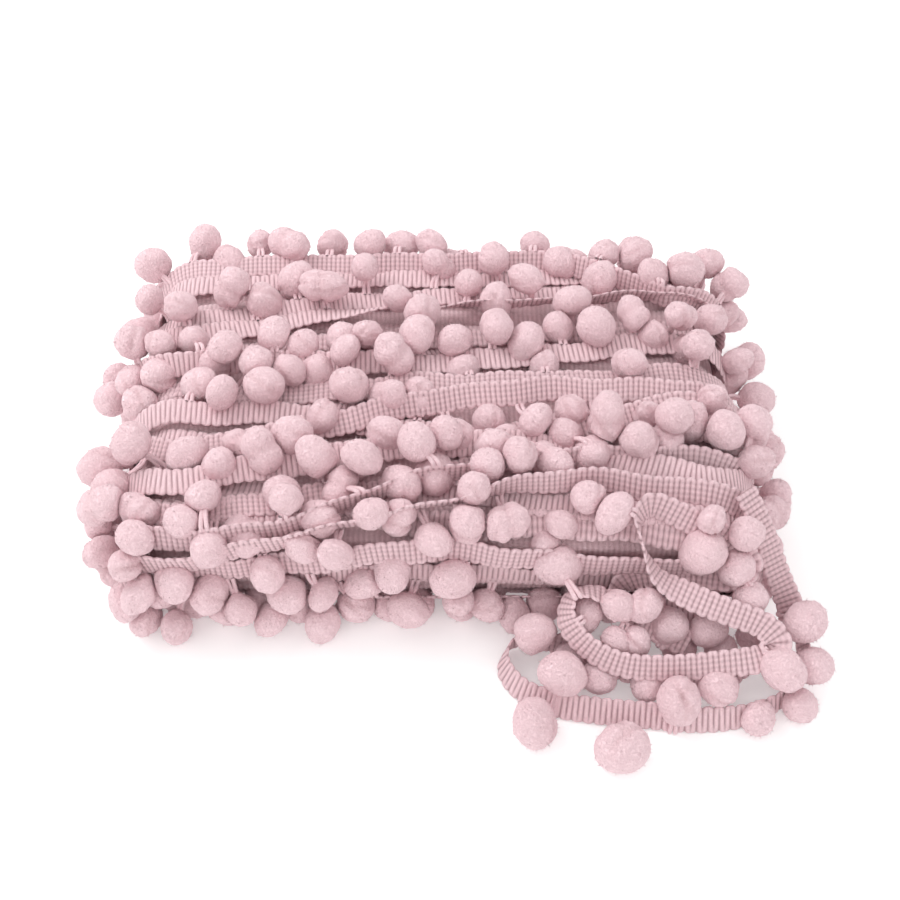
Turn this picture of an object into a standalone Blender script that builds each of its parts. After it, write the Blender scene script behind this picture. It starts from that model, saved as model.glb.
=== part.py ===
"""Pompom fringe trim: ribbed tape with a pompom on each hanging loop, wound flat into an
oblong hank, with its loose end lying in loops at the near right corner.

Axes: X along the hank, Y away from the viewer, Z up. The origin lies on the outer face of
the tape at the middle of the underside. Tables are in millimetres and degrees.
"""
import math

import bmesh
import bpy
import numpy as np

MM = 0.001

# Tape and pompoms
TAPE_WIDTH = 11.0
TAPE_THICKNESS = 2.0
WOUND_STRIP_THICKNESS = 2.6
POMPOM_RADIUS = 7.7
POMPOM_PITCH = 31.0
LOOP_WIDTH = 1.8

# Wound form: straight runs, rounded turns at both ends, a boxy section with a flat underside
RUN_END = 104.0
HALF_HEIGHT = 27.5
FLAT_DEPTH = 57.0
SIDE_BULGE = 30.0
CORNER_POWER = 2.6
END_REACH = 27.0
MASS_INSET = 2.2
UNDER_SINK = 1.2
END_RISE = 3.0
NEAR_LEFT_TUCK = 6.0

STATIONS = (-110.0, -55.0, 0.0, 55.0, 110.0)

# One row for each turn of the tape that lies outermost. "top" is where the upper run lies,
# measured around the section from its top centre line, positive toward the viewer, at the
# five stations. "under" is the same for the lower run. "roll" tips the face to the viewer,
# at the left, middle and right, and "lift" is its height over the layer below at the same
# places. "side" is the fringed edge, +1 near or -1 far.
# "lies" places each pompom: a beside, f further off, h high, t topmost, o over the tape,
# d deep, n out of sight and left out.
TURNS = [
    dict(name="far_low", top=(-100, -99, -100, -99, -100), under=-123, roll=(0, 0, 0),
         lift=(0.2, 0.2, 0.2), side=-1, start=9, lies="adahada"),
    dict(name="far_rim", top=(-72, -75, -75, -75, -46), under=-143, roll=(38, 70, 80),
         lift=(0.2, -0.8, 0.5), side=-1, start=23, lies="tttathh"),
    dict(name="far_top", top=(-34, -48, -56, -60, -62), under=-156, roll=(12, 0, -5),
         lift=(0.3, -2.5, -3.0), side=-1, start=14, lies="hahahah"),
    dict(name="far_edge_on", top=(-24, -38, -42, -45, -50), under=-169, roll=(18, -46, -62),
         lift=(0.6, 0.6, 0.2), side=-1, start=27, lies="ahoahah"),
    dict(name="middle_far", top=(-5, -6, -8, -14, -21), under=-182, roll=(64, 12, 12),
         lift=(0.0, 1.0, 1.4), side=-1, start=5, lies="ahahhah"),
    dict(name="middle_low", top=(9, 8, 5, 3, -3), under=-195, roll=(0, 15, 10),
         lift=(-3.0, 0.4, -1.0), side=-1, start=22, lies="hdhddoa"),
    dict(name="middle_broad", top=(40, 32, 19, 12, 13), under=209, roll=(10, 42, 30),
         lift=(-3.0, 1.8, 1.8), side=1, start=16, lies="ahaffff"),
    dict(name="near_left", top=(23, 23, 32, 46, 52), under=195, roll=(20, 10, 0),
         lift=(1.0, -2.5, -3.0), side=-1, start=3, lies="ahhadah"),
    dict(name="near_wide", top=(62, 52, 42, 44, 60), under=182, roll=(24, 30, 24),
         lift=(1.0, 1.4, 1.0), side=1, start=11, lies="aahahaa"),
    dict(name="near_cross", top=(74, 66, 56, 33, 18), under=169, roll=(0, 5, 30),
         lift=(-3.0, -1.6, 1.6), side=1, start=26, lies="daahaha"),
    dict(name="twist_upper", top=(84, 79, 61, 50, 48), under=156, roll=(25, 98, 60),
         lift=(1.6, 1.2, -3.0), side=-1, start=18, lies="ahahdaa"),
    dict(name="twist_lower", top=(94, 83, 73, 62, 66), under=143, roll=(20, 100, 40),
         lift=(2.0, 2.4, -2.0), side=1, start=7, lies="aahaaha"),
    dict(name="front_low", top=(98, 95, 88, 94, 96), under=123, roll=(0, 10, 10),
         lift=(0.4, 0.4, 0.4), side=1, start=24, lies="aadaada"),
]

# Turns one layer further in, whose pompoms push out between the outer turns.
INNER_TURNS = [
    dict(name="inner_far", top=(-62, -68, -69, -70, -76), under=-140, roll=(10, 15, 0),
         lift=(-1.0, -2.0, -1.0), side=-1, start=9, lies="atttaah"),
    dict(name="inner_far_middle", top=(-16, -26, -28, -32, -36), under=-165, roll=(0, 0, 0),
         lift=(-3.0, -3.0, -3.0), side=1, start=13, lies="aahaahh"),
    dict(name="inner_upper", top=(2, 14, -24, -28, 2), under=-188, roll=(0, 0, 0),
         lift=(-4.0, -4.5, -4.0), side=-1, start=19, lies="hahhaha"),
    dict(name="inner_middle", top=(2, 12, -4, -4, 4), under=-195, roll=(0, 0, 0),
         lift=(-3.0, -3.0, -3.0), side=1, start=24, lies="haannna"),
    dict(name="inner_near", top=(32, 40, 36, 24, 28), under=190, roll=(0, 0, 0),
         lift=(-3.0, -3.0, -3.0), side=1, start=8, lies="ahahaah"),
    dict(name="inner_front", top=(72, 70, 62, 70, 74), under=165, roll=(0, 0, 0),
         lift=(-3.0, -3.0, -2.0), side=1, start=19, lies="aahahaa"),
    dict(name="inner_fold", top=(54, 62, 78, 78, 84), under=150, roll=(0, 0, 0),
         lift=(-4.0, -3.5, -2.0), side=-1, start=28, lies="ahahaha"),
    dict(name="inner_low", top=(106, 104, 104, 106, 108), under=134, roll=(0, 0, 0),
         lift=(-3.0, -3.0, -2.0), side=1, start=4, lies="anaaana"),
    dict(name="inner_back", top=(-86, -87, -85, -88, -86), under=-132, roll=(0, 0, 0),
         lift=(-2.0, -2.0, -2.0), side=1, start=12, lies="nnnnnnn"),
]

# Loose end: centre line points and the lean of the tape's upper edge off the vertical,
# positive to the left of travel, from the hank's near right corner to the curled free end.
LOOSE_PATH = [
    dict(x=122, y=-66, z=57, lean=90), dict(x=130, y=-76, z=44, lean=88),
    dict(x=136, y=-84, z=30, lean=75), dict(x=142, y=-91, z=18, lean=50),
    dict(x=147, y=-101, z=10, lean=22), dict(x=145, y=-114, z=6, lean=5),
    dict(x=137, y=-126, z=5.0, lean=-8), dict(x=121, y=-134, z=4.8, lean=-22),
    dict(x=102, y=-136, z=4.6, lean=-34), dict(x=83, y=-134, z=4.5, lean=-40),
    dict(x=64, y=-132, z=4.5, lean=-40), dict(x=47, y=-129, z=4.7, lean=-34),
    dict(x=34, y=-122, z=4.9, lean=-26), dict(x=28, y=-111, z=5.3, lean=-22),
    dict(x=33, y=-102, z=7, lean=-8), dict(x=46, y=-102, z=7.5, lean=14),
    dict(x=64, y=-110, z=7, lean=34), dict(x=84, y=-117, z=6.5, lean=40),
    dict(x=104, y=-120, z=6.5, lean=36), dict(x=121, y=-116, z=8, lean=16),
    dict(x=130, y=-106, z=13, lean=0), dict(x=122, y=-97, z=17, lean=-20),
    dict(x=104, y=-95, z=18, lean=-34), dict(x=84, y=-94, z=18, lean=-20),
    dict(x=72, y=-90, z=22, lean=0), dict(x=80, y=-86, z=28, lean=30),
    dict(x=100, y=-87, z=32, lean=50), dict(x=117, y=-91, z=34, lean=80),
    dict(x=123, y=-88, z=39, lean=118), dict(x=115, y=-82, z=47, lean=140),
    dict(x=99, y=-77, z=53, lean=146), dict(x=85, y=-73, z=57, lean=158),
    dict(x=79, y=-79, z=55, lean=165), dict(x=81, y=-87, z=48, lean=156),
    dict(x=87, y=-95, z=40, lean=108), dict(x=99, y=-101, z=36, lean=58),
    dict(x=113, y=-106, z=33, lean=40), dict(x=126, y=-110, z=30, lean=40),
    dict(x=132, y=-115, z=25, lean=76), dict(x=126, y=-119, z=21, lean=118),
    dict(x=110, y=-121, z=20, lean=140), dict(x=92, y=-122, z=19, lean=148),
    dict(x=74, y=-121, z=19, lean=152), dict(x=60, y=-115, z=22, lean=156),
    dict(x=52, y=-106, z=27, lean=150), dict(x=54, y=-98, z=32, lean=132),
    dict(x=63, y=-97, z=33, lean=112), dict(x=75, y=-101, z=27, lean=84),
    dict(x=88, y=-105, z=20, lean=62), dict(x=100, y=-109, z=15, lean=50),
]

# Pompoms of the loose end: centre and radius, and the spacing of a second lobe along X.
LOOSE_POMPOMS = [
    dict(x=121, y=-82, z=50, r=7.2, twin=0), dict(x=105, y=-86, z=44, r=9.6, twin=0),
    dict(x=118, y=-89, z=38, r=8.0, twin=0), dict(x=123, y=-98, z=31, r=7.2, twin=0),
    dict(x=107, y=-80, z=56, r=6.2, twin=0), dict(x=145, y=-104, z=24, r=8.6, twin=0),
    dict(x=147, y=-117, z=13, r=8.0, twin=0), dict(x=134, y=-123, z=19, r=8.8, twin=0),
    dict(x=141, y=-131, z=7, r=7.0, twin=0), dict(x=124, y=-137, z=7, r=7.0, twin=0),
    dict(x=93, y=-134, z=15, r=8.8, twin=0), dict(x=110, y=-126, z=12, r=8.0, twin=0),
    dict(x=71, y=-150, z=9.4, r=9.4, twin=0), dict(x=39, y=-140, z=8.8, r=8.8, twin=0),
    dict(x=50, y=-122, z=15, r=8.8, twin=0), dict(x=40, y=-105, z=17, r=8.2, twin=0),
    dict(x=49, y=-86, z=36, r=9.4, twin=0), dict(x=45, y=-79, z=41, r=7.4, twin=0),
    dict(x=72, y=-102, z=31, r=6.6, twin=10), dict(x=71, y=-111, z=21, r=6.2, twin=8),
    dict(x=60, y=-101, z=24, r=7.4, twin=0), dict(x=92, y=-103, z=20, r=8.2, twin=0),
    dict(x=61, y=-70, z=58, r=7.2, twin=0), dict(x=70, y=-77, z=57, r=8.6, twin=0),
    dict(x=50, y=-77, z=50, r=6.2, twin=0), dict(x=65, y=-119, z=8, r=7.2, twin=0),
    dict(x=83, y=-122, z=8, r=7.2, twin=0), dict(x=108, y=-104, z=17, r=7.4, twin=0),
    dict(x=98, y=-105, z=7.5, r=7.2, twin=0), dict(x=114, y=-106, z=7.5, r=7.2, twin=0),
    dict(x=128, y=-99, z=7.5, r=7.0, twin=0), dict(x=54, y=-112, z=7, r=6.8, twin=0),
]

SECTION_SAMPLES = 60
POMPOM_SIDES = 7
POMPOM_RINGS = 5
HANK_GRAIN = 2.2
HANK_SHARE = 0.076
LOOSE_GRAIN = 0.9
LOOSE_SHARE = 0.028
LOOSE_CLEARANCE = 1.0
CLEARANCE_GRAIN = 1.1
CLEARANCE_SHARE = 0.045


def clear_scene():
    for thing in list(bpy.data.objects):
        bpy.data.objects.remove(thing, do_unlink=True)


def section_table():
    """Points around the section with their distance from the top centre line."""
    quarter = np.linspace(0.0, math.pi, SECTION_SAMPLES)
    bend_y = np.abs(np.sin(quarter)) ** (2.0 / CORNER_POWER)
    bend_z = np.sign(np.cos(quarter)) * np.abs(np.cos(quarter)) ** (2.0 / CORNER_POWER)
    depth = np.concatenate([[0.0], FLAT_DEPTH + SIDE_BULGE * bend_y, [0.0]])
    height = np.concatenate([[2.0 * HALF_HEIGHT], HALF_HEIGHT + HALF_HEIGHT * bend_z, [0.0]])
    steps = np.hypot(np.diff(depth), np.diff(height))
    around = np.concatenate([[0.0], np.cumsum(steps)])
    return around, depth, height


AROUND, DEPTH, HEIGHT = section_table()
HALF_GIRTH = float(AROUND[-1])


def section_point(across):
    """Place on the section, and the outward direction there, for a distance around it."""
    wrapped = (across + HALF_GIRTH) % (2.0 * HALF_GIRTH) - HALF_GIRTH
    side = -1.0 if wrapped >= 0.0 else 1.0
    here = abs(wrapped)
    place = np.array([0.0, side * np.interp(here, AROUND, DEPTH), np.interp(here, AROUND, HEIGHT)])
    ahead = min(here + 1.5, HALF_GIRTH)
    behind = max(here - 1.5, 0.0)
    run_y = np.interp(ahead, AROUND, DEPTH) - np.interp(behind, AROUND, DEPTH)
    run_z = np.interp(ahead, AROUND, HEIGHT) - np.interp(behind, AROUND, HEIGHT)
    outward = np.array([0.0, -side * run_z, run_y])
    return place, outward / np.linalg.norm(outward)


def unit(vector):
    return vector / max(float(np.linalg.norm(vector)), 1e-9)


def smooth_between(values, position):
    """Smooth curve through evenly spaced values, position counted in steps."""
    last = len(values) - 1
    index = int(min(max(math.floor(position), 0), last - 1))
    t = min(max(position - index, 0.0), 1.0)
    before = values[max(index - 1, 0)]
    start = values[index]
    end = values[index + 1]
    after = values[min(index + 2, last)]
    return 0.5 * (2.0 * start + (end - before) * t
                  + (2.0 * before - 5.0 * start + 4.0 * end - after) * t * t
                  + (3.0 * start - before - 3.0 * end + after) * t ** 3)


def top_across(turn, x):
    return smooth_between(turn["top"], (x - STATIONS[0]) / (STATIONS[1] - STATIONS[0]))


def turn_points(turn, run_steps, end_steps, under_steps):
    """Centre line of one turn as (place, outward, roll, lift), closed, from the left end."""
    points = []
    for i in range(run_steps + 1):
        x = -RUN_END + 2.0 * RUN_END * i / run_steps
        place, outward = section_point(top_across(turn, x))
        roll = math.radians(smooth_between(turn["roll"], 2.0 * i / run_steps))
        lift = smooth_between(turn["lift"], 2.0 * i / run_steps)
        points.append((place + np.array([x, 0.0, 0.0]), outward, roll, lift))
    points += end_points(turn, 1.0, end_steps)
    for i in range(under_steps + 1):
        x = RUN_END - 2.0 * RUN_END * i / under_steps
        place, outward = section_point(turn["under"])
        points.append((place + np.array([x, 0.0, 0.0]), outward, 0.0, 0.0))
    points += list(reversed(end_points(turn, -1.0, end_steps)))
    return points


def end_reach(x, y):
    """How far the rounded end stands beyond the straight runs, less at the near left."""
    if x >= 0.0:
        return END_REACH
    return END_REACH - NEAR_LEFT_TUCK * min(max((-y - 10.0) / 60.0, 0.0), 1.0)


def end_points(turn, end, steps):
    """Half turn round one end of the hank, from the upper run down to the lower one."""
    upper, upper_out = section_point(top_across(turn, end * RUN_END))
    lower, lower_out = section_point(turn["under"])
    middle = 0.5 * (upper + lower)
    half = 0.5 * (upper - lower)
    roll_start = math.radians(turn["roll"][2 if end > 0 else 0])
    points = []
    for i in range(1, steps):
        angle = math.pi * i / steps
        place = middle + half * math.cos(angle)
        place[0] = end * (RUN_END + end_reach(end, place[1]) * math.sin(angle))
        side_out = upper_out if angle < math.pi / 2.0 else lower_out
        outward = unit(np.array([end * math.sin(angle), 0.0, 0.0]) + side_out * abs(math.cos(angle)))
        roll = roll_start * max(math.cos(angle), 0.0)
        lift = turn["lift"][2 if end > 0 else 0] * max(math.cos(angle), 0.0)
        points.append((place, outward, roll, lift))
    return points


def strip_frames(turn, points, thickness):
    """Centre, direction, width direction and face direction of the tape at each point."""
    frames = []
    count = len(points)
    for i, (place, outward, roll, lift) in enumerate(points):
        direction = unit(points[(i + 1) % count][0] - points[i - 1][0])
        outward = unit(outward - direction * float(outward @ direction))
        across = np.cross(direction, outward)
        width_way = across * math.cos(roll) - outward * math.sin(roll)
        face = outward * math.cos(roll) + across * math.sin(roll)
        on_top = 1.0 if outward[2] > -0.5 else 0.0
        rise = 0.5 * TAPE_WIDTH * abs(math.sin(roll)) + lift
        sink = UNDER_SINK * (1.0 - on_top)
        centre = place + outward * (rise + sink - 0.5 * thickness)
        frames.append((centre, direction, width_way, face, outward))
    return frames


def mesh_object(name, shapes):
    """One object that holds each shape, given as its vertices and faces, as a closed shell."""
    vertices = []
    faces = []
    for points, polygons in shapes:
        shift = len(vertices)
        vertices += [tuple(float(c) * MM for c in point) for point in points]
        faces += [tuple(index + shift for index in polygon) for polygon in polygons]
    mesh = bpy.data.meshes.new(name)
    mesh.from_pydata(vertices, [], faces)
    mesh.update()
    thing = bpy.data.objects.new(name, mesh)
    bpy.context.scene.collection.objects.link(thing)
    face_outward(thing)
    return thing


def face_outward(thing):
    shape = bmesh.new()
    shape.from_mesh(thing.data)
    bmesh.ops.recalc_face_normals(shape, faces=shape.faces)
    shape.to_mesh(thing.data)
    shape.free()


def tape_strip(frames, width, thickness, closed):
    """Tape as four corners at each frame, joined along its length."""
    vertices = []
    for centre, _, width_way, face, _ in frames:
        for w, t in ((-0.5, -0.5), (0.5, -0.5), (0.5, 0.5), (-0.5, 0.5)):
            vertices.append(centre + width_way * (w * width) + face * (t * thickness))
    faces = []
    count = len(frames)
    spans = count if closed else count - 1
    for i in range(spans):
        j = (i + 1) % count
        for k in range(4):
            n = (k + 1) % 4
            faces.append((4 * i + k, 4 * i + n, 4 * j + n, 4 * j + k))
    if not closed:
        faces.append((3, 2, 1, 0))
        last = 4 * (count - 1)
        faces.append((last, last + 1, last + 2, last + 3))
    return vertices, faces


def ball(centre, radii, turn_angle=0.0):
    """Faceted pompom with its pole upright, wide as the radii say."""
    vertices = [centre + np.array([0.0, 0.0, radii[2]])]
    for ring in range(1, POMPOM_RINGS):
        polar = math.pi * ring / POMPOM_RINGS
        for k in range(POMPOM_SIDES):
            angle = turn_angle + 2.0 * math.pi * (k + 0.5 * (ring % 2)) / POMPOM_SIDES
            way = np.array([math.sin(polar) * math.cos(angle), math.sin(polar) * math.sin(angle),
                            math.cos(polar)])
            vertices.append(centre + way * np.array(radii))
    vertices.append(centre - np.array([0.0, 0.0, radii[2]]))
    faces = []
    for k in range(POMPOM_SIDES):
        n = (k + 1) % POMPOM_SIDES
        faces.append((0, 1 + k, 1 + n))
        for ring in range(POMPOM_RINGS - 2):
            low = 1 + ring * POMPOM_SIDES
            high = low + POMPOM_SIDES
            shift = 0 if ring % 2 else 1
            if shift:
                faces.append((low + k, high + k, low + n))
                faces.append((low + n, high + k, high + n))
            else:
                faces.append((low + k, high + n, low + n))
                faces.append((low + k, high + k, high + n))
        foot = 1 + (POMPOM_RINGS - 2) * POMPOM_SIDES
        faces.append((len(vertices) - 1, foot + n, foot + k))
    return vertices, faces


def loop_stub(start, end):
    """Hanging loop as one four-sided bar from the tape's edge into the pompom."""
    way = unit(end - start)
    side = unit(np.cross(way, np.array([0.31, 0.52, 0.79])))
    other = np.cross(way, side)
    half = 0.5 * LOOP_WIDTH
    vertices = []
    for place in (start, end):
        for a, b in ((-half, -half), (half, -half), (half, half), (-half, half)):
            vertices.append(place + side * a + other * b)
    faces = [(3, 2, 1, 0), (4, 5, 6, 7), (0, 1, 5, 4), (1, 2, 6, 5), (2, 3, 7, 6), (3, 0, 4, 7)]
    return vertices, faces


def height_over_winding(place):
    """Distance outside the outer face of the winding, negative inside it."""
    end = max(abs(place[0]) - RUN_END, 0.0) / end_reach(place[0], place[1])
    side = max(abs(place[1]) - FLAT_DEPTH, 0.0) / SIDE_BULGE
    rise = abs(place[2] - HALF_HEIGHT) / HALF_HEIGHT
    power = CORNER_POWER
    return HALF_HEIGHT * ((math.hypot(end, rise) ** power + side ** power) ** (1.0 / power) - 1.0)


def outward_of_winding(place):
    step = 0.5
    slope = []
    for axis in range(3):
        shift = np.zeros(3)
        shift[axis] = step
        slope.append(height_over_winding(place + shift) - height_over_winding(place - shift))
    return unit(np.array(slope))


LIE_SIDEWAYS = {"a": 15.0, "f": 21.0, "h": 10.5, "t": 12.0, "o": 1.0, "d": 14.0}
LIE_HEIGHT = {"a": 3.6, "f": 4.0, "h": 9.0, "t": 12.0, "o": 8.0, "d": -1.5}


def frames_at(frames, distances):
    """Frames met at the given distances along a closed line."""
    centres = np.array([frame[0] for frame in frames] + [frames[0][0]])
    lengths = np.linalg.norm(np.diff(centres, axis=0), axis=1)
    along = np.concatenate([[0.0], np.cumsum(lengths)])
    found = []
    for distance in distances:
        index = int(np.searchsorted(along, distance % along[-1], side="right")) - 1
        found.append(frames[min(index, len(frames) - 1)])
    return found, float(along[-1])


def turn_pompoms(turn):
    """Pompoms of one turn: root on the tape's edge, centre and radius of each."""
    frames = strip_frames(turn, turn_points(turn, 104, 44, 104), WOUND_STRIP_THICKNESS)
    _, length = frames_at(frames, [0.0])
    count = int(length // POMPOM_PITCH)
    distances = [turn["start"] + k * length / count for k in range(count)]
    found, _ = frames_at(frames, distances)
    pompoms = []
    for k, (centre, direction, width_way, _, outward) in enumerate(found):
        lie = turn["lies"][k % len(turn["lies"])]
        if lie == "n":
            continue
        radius = POMPOM_RADIUS * (1.0 + 0.10 * math.sin(5.1 * k + turn["start"]))
        root = centre + width_way * (turn["side"] * 0.5 * TAPE_WIDTH)
        level = centre + np.cross(direction, outward) * (turn["side"] * LIE_SIDEWAYS[lie])
        level = level + direction * (3.0 * math.sin(2.3 * k + turn["start"]))
        level = level - outward_of_winding(level) * height_over_winding(level)
        height = LIE_HEIGHT[lie] + END_RISE * min(max(abs(level[0]) - RUN_END, 0.0) / 12.0, 1.0)
        place = level + outward_of_winding(level) * height
        pompoms.append(dict(root=root, centre=place, r=radius, low=min(height, 2.0)))
    return pompoms


def settle(pompoms, rounds):
    """Push pompoms apart where they press too far into each other."""
    centres = np.array([p["centre"] for p in pompoms])
    radii = np.array([p["r"] for p in pompoms])
    for _ in range(rounds):
        gaps = centres[:, None, :] - centres[None, :, :]
        distance = np.linalg.norm(gaps, axis=2) + 1e-6
        wanted = 0.90 * (radii[:, None] + radii[None, :])
        press = np.clip(wanted - distance, 0.0, None)
        np.fill_diagonal(press, 0.0)
        centres = centres + 0.30 * np.sum(gaps / distance[:, :, None] * press[:, :, None], axis=1)
        for i, pompom in enumerate(pompoms):
            height = height_over_winding(centres[i])
            way = outward_of_winding(centres[i])
            if height < pompom["low"]:
                centres[i] += way * (pompom["low"] - height) * 0.5
            if height > 14.0:
                centres[i] -= way * (height - 14.0) * 0.5
            centres[i][2] = max(centres[i][2], radii[i])
    for i, pompom in enumerate(pompoms):
        pompom["centre"] = centres[i]
    return pompoms


def loose_frames(steps_per_point):
    """Frames along the loose end, its lean turned into a width direction."""
    columns = {key: [row[key] for row in LOOSE_PATH] for key in ("x", "y", "z", "lean")}
    count = (len(LOOSE_PATH) - 1) * steps_per_point
    rows = []
    for i in range(count + 1):
        at = i / steps_per_point
        rows.append([smooth_between(columns[key], at) for key in ("x", "y", "z", "lean")])
    rows = np.array(rows)
    frames = []
    for i in range(count + 1):
        direction = unit(rows[min(i + 1, count), :3] - rows[max(i - 1, 0), :3])
        upright = np.array([0.0, 0.0, 1.0])
        left = unit(np.cross(upright, direction))
        upright = unit(upright - direction * direction[2])
        lean = math.radians(rows[i, 3])
        width_way = upright * math.cos(lean) + left * math.sin(lean)
        face = np.cross(direction, width_way)
        frames.append((rows[i, :3], direction, width_way, face, face))
    return frames


def winding_mass():
    """Lumpy body of the inner turns, a little under the outer tape, flat beneath."""
    stations = np.concatenate([
        -RUN_END - END_REACH * np.sin(np.radians([80, 62, 42, 20])),
        np.linspace(-RUN_END, RUN_END, 13),
        RUN_END + END_REACH * np.sin(np.radians([20, 42, 62, 80])),
    ])
    around = np.linspace(-HALF_GIRTH, HALF_GIRTH, 29)[:-1]
    vertices = []
    for x in stations:
        beyond = min(max(abs(x) - RUN_END, 0.0) / END_REACH, 0.999)
        squash = math.sqrt(1.0 - beyond * beyond)
        for k, across in enumerate(around):
            place, outward = section_point(across)
            lump = 0.8 * math.sin(0.11 * x + 1.7 * k) * math.sin(0.9 * k + 0.04 * x)
            place = place - outward * (MASS_INSET - min(lump, 0.8) * (1.0 if place[2] > 8.0 else 0.0))
            y = place[1] * (1.0 - 0.05 * beyond ** 3)
            z = HALF_HEIGHT + (place[2] - HALF_HEIGHT) * squash
            reach = (end_reach(x, y) - MASS_INSET) * beyond
            vertices.append(np.array([math.copysign(min(abs(x), RUN_END) + reach, x), y, z]))
    faces = []
    ring = len(around)
    for i in range(len(stations) - 1):
        for k in range(ring):
            n = (k + 1) % ring
            faces.append((i * ring + k, i * ring + n, (i + 1) * ring + n, (i + 1) * ring + k))
    faces.append(tuple(range(ring)))
    faces.append(tuple(range((len(stations) - 1) * ring, len(stations) * ring)))
    return vertices, faces


def largest_shell(mesh):
    """Leave only the biggest closed shell, without the pockets sealed inside it."""
    shape = bmesh.new()
    shape.from_mesh(mesh)
    unseen = set(shape.verts)
    shells = []
    while unseen:
        front = [unseen.pop()]
        shell = set(front)
        while front:
            vertex = front.pop()
            for edge in vertex.link_edges:
                other = edge.other_vert(vertex)
                if other not in shell:
                    shell.add(other)
                    unseen.discard(other)
                    front.append(other)
        shells.append(shell)
    shells.sort(key=len)
    for shell in shells[:-1]:
        bmesh.ops.delete(shape, geom=list(shell), context="VERTS")
    shape.to_mesh(mesh)
    shape.free()


def take_shape(thing):
    """Take the modified shape as the object's own mesh."""
    graph = bpy.context.evaluated_depsgraph_get()
    mesh = bpy.data.meshes.new_from_object(thing.evaluated_get(graph))
    thing.modifiers.clear()
    mesh.name = thing.name
    largest_shell(mesh)
    thing.data = mesh


def fused(name, shapes, grain, share):
    """Grow all shapes into one closed skin, then keep a share of its triangles."""
    thing = mesh_object(name, shapes)
    skin = thing.modifiers.new("skin", "REMESH")
    skin.mode = "VOXEL"
    skin.voxel_size = grain * MM
    take_shape(thing)
    thin = thing.modifiers.new("thin", "DECIMATE")
    thin.decimate_type = "COLLAPSE"
    thin.ratio = share
    thin.use_collapse_triangulate = True
    take_shape(thing)
    return thing


def cut_away(thing, cutter, label):
    cutter.hide_render = True
    cutter.display_type = "WIRE"
    cut = thing.modifiers.new(label, "BOOLEAN")
    cut.operation = "DIFFERENCE"
    cut.object = cutter
    cut.solver = "EXACT"


def cut_level(thing):
    """Level the underside of what rests on the table."""
    corners = [(x, y, z) for z in (-12.0, 0.0) for x, y in
               ((-200.0, -200.0), (220.0, -200.0), (220.0, 200.0), (-200.0, 200.0))]
    faces = [(3, 2, 1, 0), (4, 5, 6, 7), (0, 1, 5, 4), (1, 2, 6, 5), (2, 3, 7, 6), (3, 0, 4, 7)]
    cutter = mesh_object(thing.name + "_level", [([np.array(c) for c in corners], faces)])
    cut_away(thing, cutter, "level")


def loose_shapes(grow):
    """Tape, hanging loops and pompoms of the loose end, each made thicker all round by grow."""
    frames = loose_frames(3)
    centres = np.array([frame[0] for frame in frames])
    shapes = [tape_strip(frames, TAPE_WIDTH + 2.0 * grow, TAPE_THICKNESS + 2.0 * grow, False)]
    for i, row in enumerate(LOOSE_POMPOMS):
        centre = np.array([row["x"], row["y"], row["z"]], dtype=float)
        r = row["r"] + grow
        nearest = int(np.argmin(np.linalg.norm(centres - centre, axis=1)))
        shapes.append(ball(centre, (r, r * 0.94, r * 0.97), 0.9 * i))
        if row["twin"]:
            shapes.append(ball(centre + np.array([row["twin"], 0.0, 0.0]), (r, r, r), 1.1 * i))
        shapes.append(loop_stub(frames[nearest][0], centre))
    return shapes


def yarn_material(name, colour):
    material = bpy.data.materials.new(name)
    material.use_nodes = True
    shader = material.node_tree.nodes["Principled BSDF"]
    shader.inputs["Base Color"].default_value = (*colour, 1.0)
    shader.inputs["Roughness"].default_value = 0.95
    shader.inputs["Sheen Weight"].default_value = 0.4
    material.diffuse_color = (*colour, 1.0)
    return material


def smooth(thing):
    """Shade the rounded form smoothly."""
    for polygon in thing.data.polygons:
        polygon.use_smooth = True


def near_loose_end(place, radius, line):
    return float(np.min(np.linalg.norm(line - place, axis=1))) < radius + 5.4


def build_hank(material):
    pompoms = []
    for turn in TURNS + INNER_TURNS:
        pompoms += turn_pompoms(turn)
    pompoms = settle(pompoms, 30)
    line = np.array([frame[0] for frame in loose_frames(4)])
    others = np.array([[row["x"], row["y"], row["z"]] for row in LOOSE_POMPOMS])
    lobes = np.array([[row["x"] + row["twin"], row["y"], row["z"]] for row in LOOSE_POMPOMS])
    others = np.vstack([others, lobes])
    shapes = [winding_mass()]
    for turn in TURNS:
        frames = strip_frames(turn, turn_points(turn, 15, 6, 6), WOUND_STRIP_THICKNESS)
        shapes.append(tape_strip(frames, TAPE_WIDTH, WOUND_STRIP_THICKNESS, True))
    for i, pompom in enumerate(pompoms):
        centre = pompom["centre"]
        beneath = centre[2] < 12.0 and abs(centre[1]) < 66.0 and abs(centre[0]) < 112.0
        if beneath or near_loose_end(centre, pompom["r"], line):
            continue
        if float(np.min(np.linalg.norm(others - centre, axis=1))) < pompom["r"] + 8.6:
            continue
        r = pompom["r"]
        flat = 1.0 - 0.12 * abs(math.sin(1.9 * i))
        shapes.append(ball(centre, (r, r * flat, r * 0.96), 0.7 * i))
        if height_over_winding(centre) > 4.0:
            way = outward_of_winding(centre)
            foot = centre - way * (height_over_winding(centre) + MASS_INSET + 1.5)
            shapes.append(loop_stub(foot, centre))
    hank = fused("wound_hank", shapes, HANK_GRAIN, HANK_SHARE)
    room = loose_shapes(LOOSE_CLEARANCE)
    clearance = fused("hank_clearance", room, CLEARANCE_GRAIN, CLEARANCE_SHARE)
    cut_away(hank, clearance, "clear_of_loose_end")
    cut_level(hank)
    hank.data.materials.append(material)
    smooth(hank)
    return hank


def build_loose_end(material):
    loose = fused("loose_end", loose_shapes(0.0), LOOSE_GRAIN, LOOSE_SHARE)
    cut_level(loose)
    loose.data.materials.append(material)
    smooth(loose)
    return loose


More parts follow.
